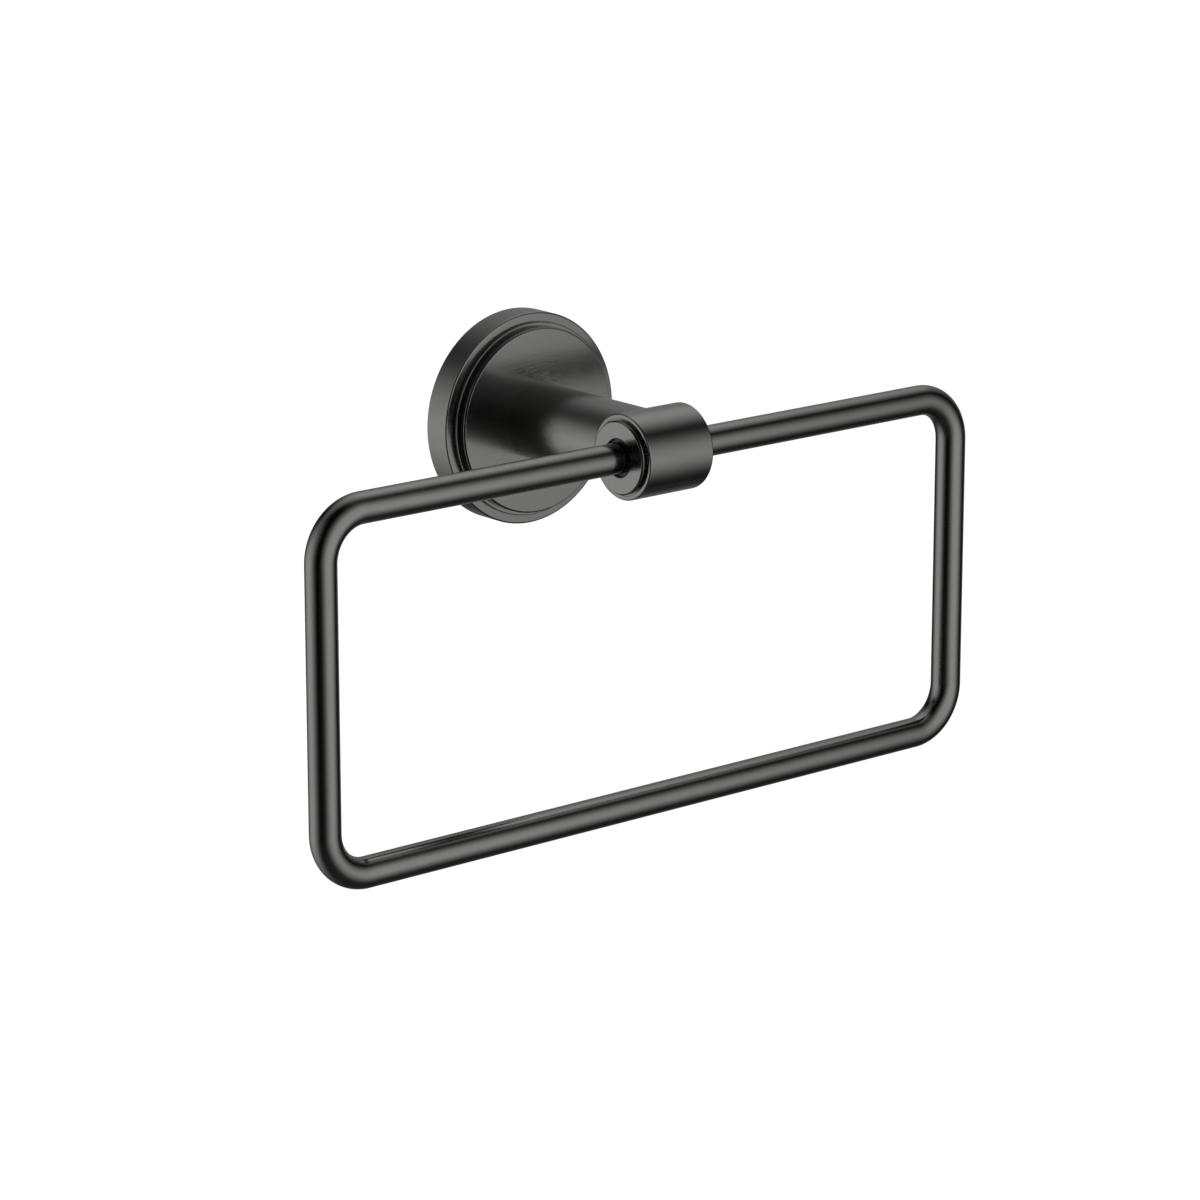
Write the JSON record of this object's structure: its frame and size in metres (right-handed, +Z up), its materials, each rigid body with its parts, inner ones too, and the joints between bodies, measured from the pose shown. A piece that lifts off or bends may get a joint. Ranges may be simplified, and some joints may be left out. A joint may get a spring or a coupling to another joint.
{
  "type": "towel ring",
  "caption": "Wall-mounted towel ring: a round stepped flange and straight post carry a cross barrel, and a rectangular rod ring hangs from the barrel and swings.",
  "frame": {"origin": "centre of the flange's back on the wall, midway between the bracket's two slots", "axes": "+Z up, +Y into the wall, +X to the right seen from the room"},
  "size_m": [0.2172, 0.0682, 0.1239],
  "materials": {
    "gunmetal": "dark gunmetal, satin, brushed round the flange, post and barrel",
    "bracket_steel": "plain zinc-plated steel, hidden under the flange",
    "screw_steel": "plain zinc-plated steel",
    "bush_plastic": "black nylon"
  },
  "bodies": {
    "wall_holder": {"wall_bracket": "bracket_steel", "flange": "gunmetal", "flange_grub_screw": "screw_steel", "post": "gunmetal", "locating_pin": "screw_steel", "tie_washer": "screw_steel", "tie_screw": "screw_steel", "barrel": "gunmetal", "left_bush": "bush_plastic", "right_bush": "bush_plastic"},
    "swinging_ring": {"ring": "gunmetal"}
  },
  "joints": [
    {"name": "ring_swing", "type": "hinge", "parent": "wall_holder", "child": "swinging_ring", "pos_m": [0, -0.0571, 0], "axis": [1, 0, 0], "range_deg": [-215, 35]}
  ]
}
